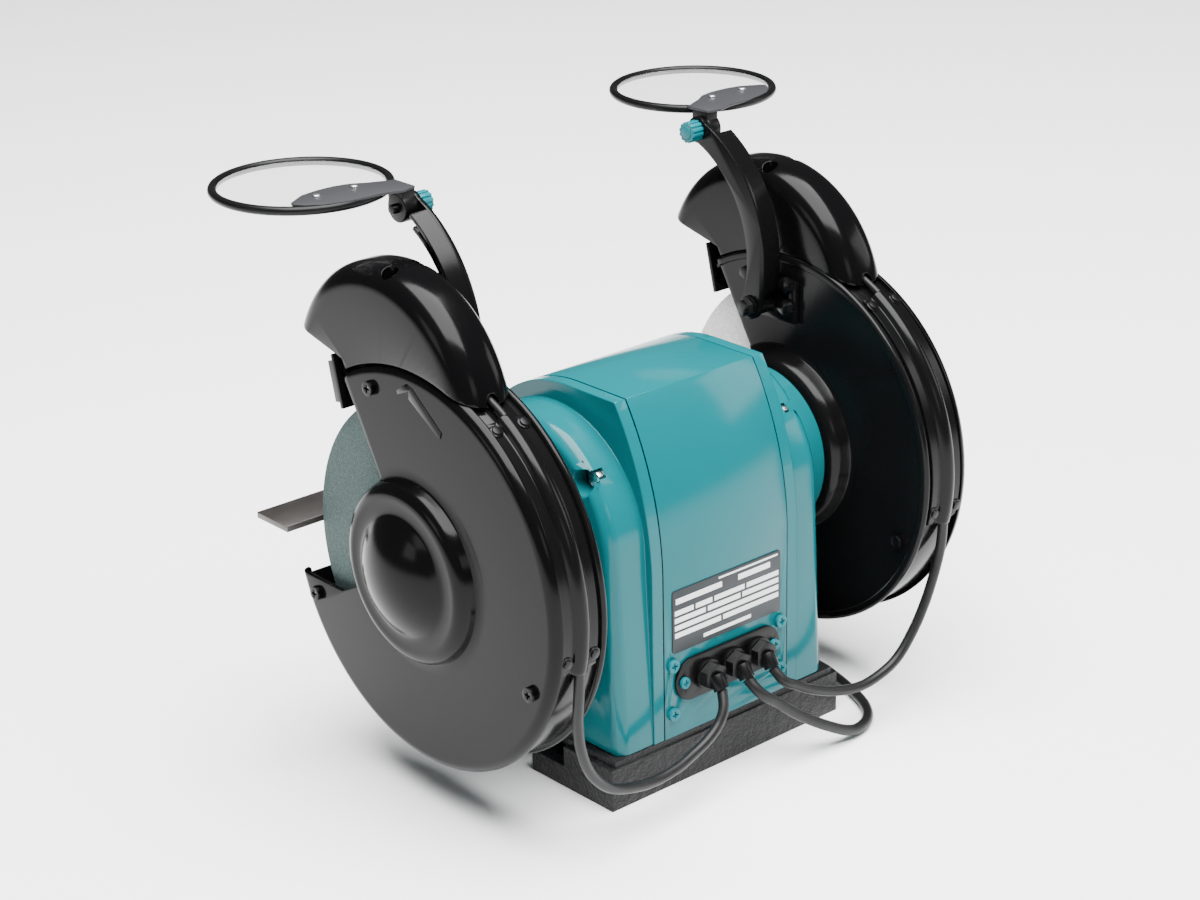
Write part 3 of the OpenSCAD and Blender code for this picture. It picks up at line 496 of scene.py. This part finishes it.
room = {"floor": 14.0, "sky": 0.10,
        "lights": [("ceiling", (0.2, 0.5, 3.2), 3.2, 700, 1.0), ("rightSoft", (-2.3, 1.4, 1.2), 1.0, 16, 1.0),
                   ("leftStrip", (2.4, -0.4, 1.0), 0.7, 5, 1.0), ("rear", (0.6, 2.9, 1.3), 1.0, 7, 0.7)]}
pickNothing()
bpy.ops.mesh.primitive_grid_add(x_subdivisions=8, y_subdivisions=8, size=room["floor"], location=(0, 0, 0))
floor = rename(bpy.context.object, "floor")
paper = Finish("palePaper", Specular_IOR_Level=0.2)
paperTone = paper.blend(paper.noise(900, 2), tone(0.93, 0.93, 0.93), tone(0.95, 0.95, 0.95))
floor.data.materials.append(paper.feed(Base_Color=paperTone, Roughness=0.75 + 0.05 * paper.noise(50, 2)))
sky = bpy.data.worlds.new("softRoom")
bpy.context.scene.world = sky
sky.use_nodes = True
sky.node_tree.nodes["Background"].inputs["Color"].default_value = (1, 1, 1, 1)
sky.node_tree.nodes["Background"].inputs["Strength"].default_value = room["sky"]
for name, place, size, power, shape in room["lights"]:
    lamp = bpy.data.lights.new(name, "AREA")
    lamp.shape = "RECTANGLE"
    lamp.size, lamp.size_y, lamp.energy = size, size * shape, power
    holder = bpy.data.objects.new(name, lamp)
    bpy.context.scene.collection.objects.link(holder)
    holder.location = place
    holder.rotation_mode = "QUATERNION"
    holder.rotation_quaternion = (Vector((0, 0, 0.2)) - Vector(place)).to_track_quat("-Z", "Y")
print("camera and room made")


# ---- cords ----

cords = {
    "lampThick": 6.5, "mainsThick": 7.0, "glandX": (19, -2.5, -24), "glandZ": 67, "noseY": 98, "noseTilt": 55,
    "noseLong": 8, "conduitEnd": (152, 121.8, 127.05),
    "right": [(24, 105, 51), (31, 107, 43), (41, 108, 37), (53, 109, 33), (68, 111, 30), (88, 112, 29), (109, 113, 33),
              (125, 114, 40), (139, 115, 54), (148, 117, 73), (152, 119, 93), (152.5, 121, 110)],
    "left": [(-27, 106, 53), (-35, 108, 48), (-48, 110, 41), (-67, 112, 34), (-87, 114, 31), (-105, 115, 34),
             (-119, 116, 41), (-132, 117, 56), (-141, 118, 72), (-147, 119, 88), (-151, 120, 103), (-152, 121, 114)],
    "mains": [(-6, 107, 52), (-17, 110, 43), (-33, 114, 30), (-53, 118, 17), (-74, 119, 6.5), (-89, 116, 4.5),
              (-101, 108, 4), (-110, 96, 4), (-117, 80, 4), (-123, 62, 4), (-128, 40, 4), (-129, 8, 4), (-127, -26, 4),
              (-121, -60, 4), (-106, -94, 4), (-84, -113, 4), (-64, -116.5, 4)],
    "coil": (-26, -158), "coilOut": 43.6, "coilIn": 36.4, "tail": (42, -128, 19),
}


def noseEnd(x):
    tilt = math.radians(cords["noseTilt"])
    return (x, cords["noseY"] - 4 + cords["noseLong"] * math.cos(tilt),
            cords["glandZ"] - cords["noseLong"] * math.sin(tilt))


def coilTurns():
    # five turns from the outer ring on the bench up to the inner ring on top
    slots = [(cords["coilOut"], 4.0), (cords["coilIn"], 4.0), (cords["coilIn"], 11.1), (cords["coilOut"], 11.1),
             (cords["coilOut"], 18.2), (cords["coilIn"], 18.2)]
    crossings = [300, 230 + 360, 160 + 720, 90 + 1080, 20 + 1440]
    path = []
    for step in range(0, 5 * 24 + 1):
        travel = step * 15
        radius, height = slots[0]
        for where, (nextRadius, nextHeight) in zip(crossings, slots[1:]):
            share = min(max((travel - where) / 60, 0), 1)
            share = share * share * (3 - 2 * share)
            radius, height = radius + (nextRadius - radius) * share, height + (nextHeight - height) * share
        angle = math.radians(108 - travel)
        path.append((cords["coil"][0] + radius * math.cos(angle), cords["coil"][1] + radius * math.sin(angle), height))
    for travel, height, radius in ((15, 20, 36.6), (30, 23, 37), (45, 25.4, 38)):
        angle = math.radians(108 - travel)
        path.append((cords["coil"][0] + radius * math.cos(angle), cords["coil"][1] + radius * math.sin(angle), height))
    return path + [(7, -129, 25.6), (20, -130, 23.6), (31, -129, 20.6), cords["tail"]]


def cordCurve(name, path, thick):
    curve = bpy.data.curves.new(name, "CURVE")
    curve.dimensions = "3D"
    curve.bevel_depth = thick / 2 * mm
    curve.bevel_resolution = 5
    curve.resolution_u = 6
    curve.use_fill_caps = True
    line = curve.splines.new("BEZIER")
    line.bezier_points.add(len(path) - 1)
    spots = [Vector(p) * mm for p in path]
    for i, knot in enumerate(line.bezier_points):
        before, after = spots[max(i - 1, 0)], spots[min(i + 1, len(spots) - 1)]
        way = (after - before).normalized()
        knot.co = spots[i]
        knot.handle_left_type = knot.handle_right_type = "FREE"
        knot.handle_left = spots[i] - way * (spots[i] - before).length * 0.34
        knot.handle_right = spots[i] + way * (after - spots[i]).length * 0.34
    obj = bpy.data.objects.new(name, curve)
    bpy.context.scene.collection.objects.link(obj)
    return obj


def longOf(path):
    return sum((Vector(b) - Vector(a)).length for a, b in zip(path, path[1:])) * mm


gland = cords["glandX"]
endRight, endLeft = cords["conduitEnd"], (-cords["conduitEnd"][0], *cords["conduitEnd"][1:])
rightPath = [noseEnd(gland[0])] + cords["right"] + [endRight]
leftPath = [noseEnd(gland[2])] + cords["left"] + [endLeft]
mainsPath = [noseEnd(gland[1])] + cords["mains"] + coilTurns()
lampRight = cordCurve("lampCordRight", rightPath, cords["lampThick"])
lampLeft = cordCurve("lampCordLeft", leftPath, cords["lampThick"])
mainsLead = cordCurve("mainsLead", mainsPath, cords["mainsThick"])
for lead in (lampRight, lampLeft, mainsLead):
    lead.data.materials.append(finishes["cord"])
    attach(lead, "frame")
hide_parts("lamp_cords")
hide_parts("lamp_cords")
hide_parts("mains_cord", "mains_coil")
print("cords made:", round(longOf(rightPath), 3), round(longOf(leftPath), 3), round(longOf(mainsPath), 3))


# ---- wheel guards ----

guard = {"mid": 152, "outer": 172, "plate": 133, "hub": 118, "drum": 122, "sheet": 3, "openAngle": 120,
         "openDepth": 37.5, "openReach": 75, "ring": 57, "steps": 128}


def openingCutter(inner, low, high):  # the sector left open for the work
    a = math.radians(guard["openAngle"])
    far = 260
    dip = 180 + math.degrees(math.atan2(guard["openDepth"], guard["openReach"]))
    outline = [(far * math.cos(a), far * math.sin(a)), (-far, far * math.sin(a)), (-far, -guard["openDepth"]),
               (-guard["openReach"], -guard["openDepth"])] + arcPoints(0, 0, inner, dip, guard["openAngle"], 24)
    return prism("openingCutter", [(y, z + shaftZ) for y, z in outline], low, high)


def guardCover():
    out, sheet = guard["outer"], guard["sheet"]
    dome = [(56 * math.cos(math.radians(t)), -31 + 56 * math.sin(math.radians(t))) for t in range(90, 50, -4)]
    valley = [(36.4, 11.3), (38.2, 10.4), (40.5, 10.2)]
    ring = valley + arcPoints(47.2, 1.3, 9, 105, 12, 8) + [(56.8, 0.9), (58.6, 0.15)]
    face = dome + ring + [(64, 0), (118, 0)]
    face[0] = (0, face[0][1])
    rim = arcPoints(118, -7, 7, 80, 0, 7) + [(122, -7), (122, -3)]
    inside = [(r, x - sheet) for r, x in reversed(face[:-1])]
    cover = lathe("guardCoverRight", [(r, x + out) for r, x in face + rim + inside], steps=guard["steps"])
    cut(cover, openingCutter(guard["ring"], out - 12, out + 2))
    roundEdges(cover, 0.5, 2, 50)
    # raised arrow that shows the way the wheel turns
    arrow = prism("arrow", [(-8, 263.5), (2.5, 268), (2.2, 263.4), (29.5, 246.5), (31, 250.2), (5, 270.4), (0, 272),
                            (-9, 266)][::-1], out - 1, out + 0.7)
    roundEdges(arrow, 0.35, 2, 40)
    cover = merged("guardCoverRight", [cover, arrow])
    smoothBy(cover, 38)
    return cover


def guardBody():
    sheet, plate, hub = guard["sheet"], guard["plate"], guard["hub"]
    face = [(14, hub), (48, hub)] + arcPoints(50, hub + 9, 9, -90, -8, 6) + [(60.5, plate - 1.5), (64, plate)]
    edge = [(119, plate), (120, 132)] + arcPoints(122.6, 134.4, 2.4, -90, 90, 6) + [(119, 137), (119, plate + sheet)]
    inside = [(64, plate + sheet), (57, plate + sheet), (47, hub + sheet), (14, hub + sheet)]
    disc = lathe("disc", face + edge + inside, steps=guard["steps"], closed=True)
    cut(disc, openingCutter(61, plate - 6, plate + 9))
    roundEdges(disc, 0.4, 2, 50)
    outside, inside = guard["drum"], guard["drum"] - sheet
    drum = lathe("drum", [(inside, 134), (outside, 134), (outside, 169), (inside, 169)], start=-161.1, sweep=284.1,
                 steps=guard["steps"], closed=True)
    roundEdges(drum, 0.4, 2, 50)
    flange = block("flange", (137, -2.5 + 5, 4), (167, 6.5, 30))
    flange.rotation_euler.x = math.radians(13)
    flange.location = point(0, -65, 239)
    settle(flange)
    body = merged("guardBodyRight", [disc, drum, flange])
    smoothBy(body, 38)
    return body


for piece, finish, nodeName, left in ((guardCover(), "gloss", "guard_cover", "guardCoverLeft"),
                                      (guardBody(), "satin", "guard_body", "guardBodyLeft")):
    other = mirrored(piece, left)
    finishPiece(piece, finishes[finish], "frame", nodeName + "_right")
    finishPiece(other, finishes[finish], "frame", nodeName + "_left")
print("guards made")


# ---- conduits over the drums, and the cord that bridges to the hoods ----

conduit = {"low": -13, "high": 60, "hump": 6.1, "flange": 13}


def roundSection(away, radius, count):  # a circle over the middle of the drum, as (radius, x)
    turns = [2 * math.pi * i / count for i in range(count)]
    return [(away + radius * math.cos(t), guard["mid"] + radius * math.sin(t)) for t in turns]


def conduitPiece():
    mid, low, sweep = guard["mid"], conduit["low"], conduit["high"] - conduit["low"]
    hump = [(r, x) for x, r in arcPoints(mid, 122.3, conduit["hump"], 164, 16, 12)]
    wide, drum = conduit["flange"], guard["drum"]
    near = [(drum, mid - wide), (drum + 1.6, mid - wide), (drum + 2, mid - wide + 0.5), (drum + 2, mid - 7.4)]
    outline = near + hump + [(r, 2 * mid - x) for r, x in reversed(near)]
    strip = lathe("conduitRight", outline, start=low, sweep=sweep, steps=64, closed=True)
    roundEdges(strip, 0.5, 2, 45)
    # lugs at the two ends
    parts = [strip]
    for angle in (low + 4, low + sweep - 3):
        for side in (-10, 10):
            a = math.radians(angle)
            lug = cylinder("lug", 4.2, (mid + side, 122.5 * math.cos(a), shaftZ + 122.5 * math.sin(a)),
                           (mid + side, 124.9 * math.cos(a), shaftZ + 124.9 * math.sin(a)), 24)
            roundEdges(lug, 0.6, 2, 45)
            parts.append(lug)
    strip = merged("conduitRight", parts)
    smoothBy(strip, 38)
    return strip


def bridgeCord():
    ring = roundSection(126.1, 2.1, 16)
    cordPiece = lathe("bridgeCordRight", ring, start=57, sweep=13, steps=12, closed=True)
    smoothBy(cordPiece, 40)
    return cordPiece


for piece, finish, stands, left in ((conduitPiece(), "satin", "conduit_", "conduitLeft"),
                                    (bridgeCord(), "cord", None, "bridgeCordLeft")):
    other = mirrored(piece, left)
    finishPiece(piece, finishes[finish], "frame", *([stands + "right"] if stands else []))
    finishPiece(other, finishes[finish], "frame", *([stands + "left"] if stands else []))
    not stands
print("conduits made")


# ---- lamp hoods ----

hood = {"y": -30, "z": 248, "radius": 86, "width": 39, "corner": 15, "wall": 2.5, "screwX": 11, "screwY": -22,
        "recess": 4.8, "recessFloor": 318.6}


def hoodSection(inset):  # over the crest from one side to the other, as (radius, x)
    half, top, corner = hood["width"] / 2 - inset, hood["radius"] - inset, hood["corner"] - inset
    mid = guard["mid"]
    far = [(top - corner + corner * math.sin(t), mid + half - corner + corner * math.cos(t))
           for t in (math.radians(a) for a in range(0, 91, 9))]
    near = [(r, 2 * mid - x) for r, x in reversed(far)]
    return [(12, mid + half)] + far + near + [(12, mid - half)]


def lampHood():
    walls = hoodSection(0) + hoodSection(hood["wall"])[::-1]
    shell = lathe("lampHoodRight", walls, hood["y"], hood["z"], -10, 210, 96, closed=True)
    tail = math.radians(64.5)
    tailEnd = (180 * math.cos(tail), shaftZ + 180 * math.sin(tail))
    keep = prism("keep", [(-130, 287), (-62, 271), (0, shaftZ), tailEnd, (80, 380), (-130, 380)], 120, 185)
    cut(shell, keep, "INTERSECT")
    cut(shell, cylinder("drumSpace", 125.15, (120, 0, shaftZ), (185, 0, shaftZ), 128))
    cut(shell, lathe("notch", roundSection(126.3, 4, 12), start=60, sweep=8.5, steps=12, closed=True))
    cups = []
    for side in (-1, 1):
        x, y, r = guard["mid"] + side * hood["screwX"], hood["screwY"], hood["recess"]
        cut(shell, cylinder("hole", r, (x, y, 310), (x, y, 345), 40))
        cup = cylinder("cup", r + 0.9, (x, y, hood["recessFloor"] - 1.2), (x, y, 336), 40)
        cut(cup, cylinder("bore", r, (x, y, hood["recessFloor"]), (x, y, 345), 40))
        filled = [(1, 130)] + hoodSection(0.4)[::-1] + [(1, 175)]
        solid = lathe("solid", filled, hood["y"], hood["z"], 60, 60, 30, closed=True)
        cut(cup, solid, "INTERSECT")
        cups.append(cup)
    roundEdges(shell, 0.5, 2, 50)
    shell = merged("lampHoodRight", [shell] + cups)
    smoothBy(shell, 38)
    return shell


hoodRight = lampHood()
hoodLeft = mirrored(hoodRight, "lampHoodLeft")
finishPiece(hoodRight, finishes["gloss"], "frame", "lamp_hood_right")
finishPiece(hoodLeft, finishes["gloss"], "frame", "lamp_hood_left")
print("hoods made")


# ---- grinding wheels ----

wheel = {"radius": 102.5, "bore": 7.94, "inner": 145, "outer": 164, "edge": 1.4}


def grindingWheel(name, side):
    r, e = wheel["radius"], wheel["edge"]
    a, b = wheel["inner"], wheel["outer"]
    outline = [(wheel["bore"], a), (r - e, a), (r - 0.3 * e, a + 0.3 * e), (r, a + e), (r, b - e),
               (r - 0.3 * e, b - 0.3 * e), (r - e, b), (wheel["bore"], b)]
    stone = lathe(name, outline, steps=120, closed=True)
    smoothBy(stone, 40)
    if side < 0:
        twin = mirrored(stone, name)
        bpy.data.objects.remove(stone)
        return rename(twin, name)
    return stone


finishPiece(grindingWheel("stoneRight", 1), finishes["greenStone"], "spindle", "wheel_right")
finishPiece(grindingWheel("stoneLeft", -1), finishes["whiteStone"], "spindle", "wheel_left")
print("wheels made")


# ---- body, base and other castings, with their edges rounded ----

bellShape = {"boss": 82, "round": 2.2, "end": 88, "hub": 58}


def bossEdge(a, b, turn):  # the sharp rim of the boss on the outer end
    shaft = Vector((0, shaftZ))
    low, high = bellShape["boss"] - 1, bellShape["end"] + 0.5
    return (turn > 30 and low < a.x < high and low < b.x < high and abs(a.x - b.x) < 0.2
            and min((a.yz - shaft).length, (b.yz - shaft).length) > bellShape["hub"])


housing = refined("motorHousing", "motor_housing", 0.7)
finishPiece(housing, finishes["teal"], "frame", "motor_housing")
bell = copyOf(nodes["end_bell_right"], "endBellRight")
edit(bell)
bpy.ops.mesh.remove_doubles(threshold=2e-6)
bpy.ops.mesh.dissolve_limited(angle_limit=math.radians(0.4))
selectEdges(bell, bossEdge)
bpy.ops.mesh.bevel(offset=bellShape["round"] * mm, segments=4, affect="EDGES")
done()
smoothBy(bell, 32)
roundEdges(bell, 0.5, 2, 40)
smoothBy(bell, 32)
bellLeft = mirrored(bell, "endBellLeft")
finishPiece(bell, finishes["teal"], "frame", "end_bell_right")
finishPiece(bellLeft, finishes["teal"], "frame", "end_bell_left")

roundedNodes = {  # node: (piece, width of the rounding, segments)
    "base_casting": ("baseCasting", 1.4, 3), "gland_plate": ("glandPlate", 0.5, 2), "cable_glands": ("cableGlands", 0.5, 2),
    "rear_screws": ("rearScrews", 0.35, 2), "guard_cover_screws": ("guardCoverScrews", 0.35, 2),
    "conduit_screws": ("conduitScrews", 0.35, 2), "hood_screws": ("hoodScrews", 0.35, 2),
    "deflector_screws": ("deflectorScrews", 0.35, 2), "rest_brackets": ("restBrackets", 0.4, 2),
    "rest_bolts": ("restBolts", 0.4, 2), "arm_brackets": ("armBrackets", 0.4, 2), "tie_bolts": ("tieBolts", 0.35, 2),
    "guard_bolts": ("guardBolts", 0.35, 2), "switch_body": ("switchBody", 0.6, 2), "spindle_nuts": ("spindleNuts", 0.4, 2),
    "inner_flanges": ("innerFlanges", 0.4, 2), "outer_flanges": ("outerFlanges", 0.4, 2),
    "terminal_block": ("terminalBlock", 0.4, 2), "capacitor": ("capacitorCan", 1.0, 3),
    "lamp_sockets": ("lampSockets", 0.6, 2), "switch_rocker": ("switchRocker", 0.6, 2),
    "shield_arm_right": ("shieldArmRight", 0.5, 2), "shield_arm_left": ("shieldArmLeft", 0.5, 2),
    "deflector_right": ("deflectorPlateRight", 0.35, 2), "deflector_left": ("deflectorPlateLeft", 0.35, 2),
    "tool_rest_right": ("toolRestRight", 0.5, 2), "tool_rest_left": ("toolRestLeft", 0.5, 2),
}
for node, (name, width, segments) in roundedNodes.items():
    piece = refined(name, node, width, segments, 40)
    finishPiece(piece, finishOf(node), bodyOf[node], node)
print("castings and fittings made")


# ---- eye shields ----

shield = {"x": 158, "y": -111.32, "z": 363, "radius": 52.25, "thick": 2.75, "clipLow": 1.25, "clipHigh": 2.55, "ear": 117.3,
          "knobY": -60.82, "knobZ": 353, "armX": 114}


def shieldFrame():
    pickNothing()
    bpy.ops.mesh.primitive_torus_add(location=point(shield["x"], shield["y"], shield["z"]),
                                     major_segments=112, minor_segments=16, major_radius=shield["radius"] * mm,
                                     minor_radius=shield["thick"] * mm)
    ring = rename(bpy.context.object, "ring")
    settle(ring)
    e, k, cx, top = shield["ear"], shield["knobY"], shield["x"], shield["y"] + 55
    outline = [(e, k + 6), (e + 10, k + 8.5), (e + 22, top), (cx, top - 1), (cx + 11, top - 3), (cx + 20, top - 6),
               (cx + 28, top - 12), (cx + 32, top - 19), (cx + 31, top - 22), (cx + 18, top - 30), (cx + 6, top - 32),
               (cx - 6, top - 32), (cx - 16, top - 29.5), (e + 16, top - 24), (e + 4, k - 14), (e, k - 13)]
    clip = prism("clip", outline, shield["z"] + shield["clipLow"], shield["z"] + shield["clipHigh"] + 0.5, "Z")
    roundEdges(clip, 0.5, 2, 30)
    neck = block("neck", (e, k - 8.5, shield["knobZ"]), (e + 9.6, k + 6, shield["z"] + 2.2))
    roundEdges(neck, 1.2, 3, 40)
    ear = cylinder("ear", 8.9, (e, k, shield["knobZ"]), (e + 9.8, k, shield["knobZ"]), 48)
    roundEdges(ear, 1.0, 3, 40)
    rivets = []
    for x in (cx - 14, cx + 13):
        rivet = cylinder("rivet", 2.6, (x, top - 22, shield["z"] + 2.5), (x, top - 22, shield["z"] + 4.2), 24)
        roundEdges(rivet, 0.9, 3, 40)
        rivets.append(rivet)
    frameRing = merged("shieldRingRight", [ring, neck, ear])
    smoothBy(frameRing, 40)
    smoothBy(clip, 40)
    rivets = merged("clipRivetsRight", rivets)
    smoothBy(rivets, 40)
    return frameRing, rename(clip, "shieldClipRight"), rivets


def shieldKnob():
    k, z, x = shield["knobY"], shield["knobZ"], shield["armX"]
    grip = cylinder("knobRight", 6.0, (x - 9.5, k, z), (x - 0.3, k, z), 36)
    edit(grip)
    selectFaces(grip, lambda c, n: abs(n.x) < 0.1
                and int(round(math.degrees(math.atan2(n.z, n.y)) - 5) / 10) % 3 != 0)
    bpy.ops.mesh.extrude_region_shrink_fatten(TRANSFORM_OT_shrink_fatten={"value": 0.8 * mm})
    done()
    roundEdges(grip, 0.35, 2, 30)
    boss = cylinder("boss", 4.2, (x - 10, k, z), (x - 5, k, z), 32)
    roundEdges(boss, 0.4, 2, 40)
    stud = cylinder("stud", 3, (x - 4, k, z), (shield["ear"] + 14, k, z), 32)
    roundEdges(stud, 0.4, 2, 40)
    grip = merged("knobRight", [grip, boss])
    rename(stud, "studRight")
    smoothBy(grip, 35)
    smoothBy(stud, 35)
    return grip, stud


ring, clip, rivets = shieldFrame()
knobGrip, knobStud = shieldKnob()
for side in ("right", "left"):
    if side == "left":
        ring, clip, rivets, knobGrip, knobStud = (mirrored(piece, piece.name.replace("Right", "Left"))
                                                  for piece in (ring, clip, rivets, knobGrip, knobStud))
    finishPiece(ring, finishes["black"], "shield_" + side, "shield_frame_" + side)
    finishPiece(clip, finishes["clip"], "shield_" + side, slot="black_plastic")
    finishPiece(rivets, finishes["steel"], "shield_" + side, slot="steel")
    finishPiece(knobGrip, finishes["knob"], "knob_" + side, "shield_knob_" + side)
    finishPiece(knobStud, finishes["blackSteel"], "knob_" + side, slot="black_steel")
print("eye shields made")


# ---- nameplate: rows of blank bars ----

plate = {"left": -45.5, "right": 45.5, "low": 87.5, "high": 128.5, "y": 83, "thick": 0.8, "rows": [
    (0.045, 0.075, [(0.42, 0.97)]), (0.13, 0.22, [(0.03, 0.45), (0.60, 0.90)]),
    (0.32, 0.40, [(0.02, 0.19), (0.21, 0.36), (0.38, 0.66), (0.68, 0.98)]),
    (0.44, 0.52, [(0.02, 0.30), (0.32, 0.62), (0.64, 0.98)]), (0.56, 0.64, [(0.02, 0.98)]),
    (0.68, 0.76, [(0.02, 0.44), (0.46, 0.98)]), (0.86, 0.92, [(0.28, 0.72)])]}
platePiece = block("nameplateSheet", (plate["left"], plate["y"], plate["low"]),
                   (plate["right"], plate["y"] + plate["thick"], plate["high"]))
edit(platePiece)
selectEdges(platePiece, lambda a, b, turn: abs(a.y - b.y) > 0.5)
bpy.ops.mesh.bevel(offset=2 * mm, segments=5, affect="EDGES")
done()
roundEdges(platePiece, 0.2, 2, 40)
smoothBy(platePiece, 40)
finishPiece(platePiece, finishes["plate"], "frame", "nameplate")
bars = []
wide, high = plate["right"] - plate["left"], plate["high"] - plate["low"]
for top, low, spans in plate["rows"]:
    for a, b in spans:
        bar = block("bar", (plate["right"] - b * wide, plate["y"] + plate["thick"] - 0.1, plate["high"] - low * high),
                    (plate["right"] - a * wide, plate["y"] + plate["thick"] + 0.12, plate["high"] - top * high))
        roundEdges(bar, 0.08, 1, 40)
        bars.append(bar)
bars = merged("nameplateBars", bars)
finishPiece(bars, finishes["print"], "frame", slot="nameplate")
print("nameplate made")
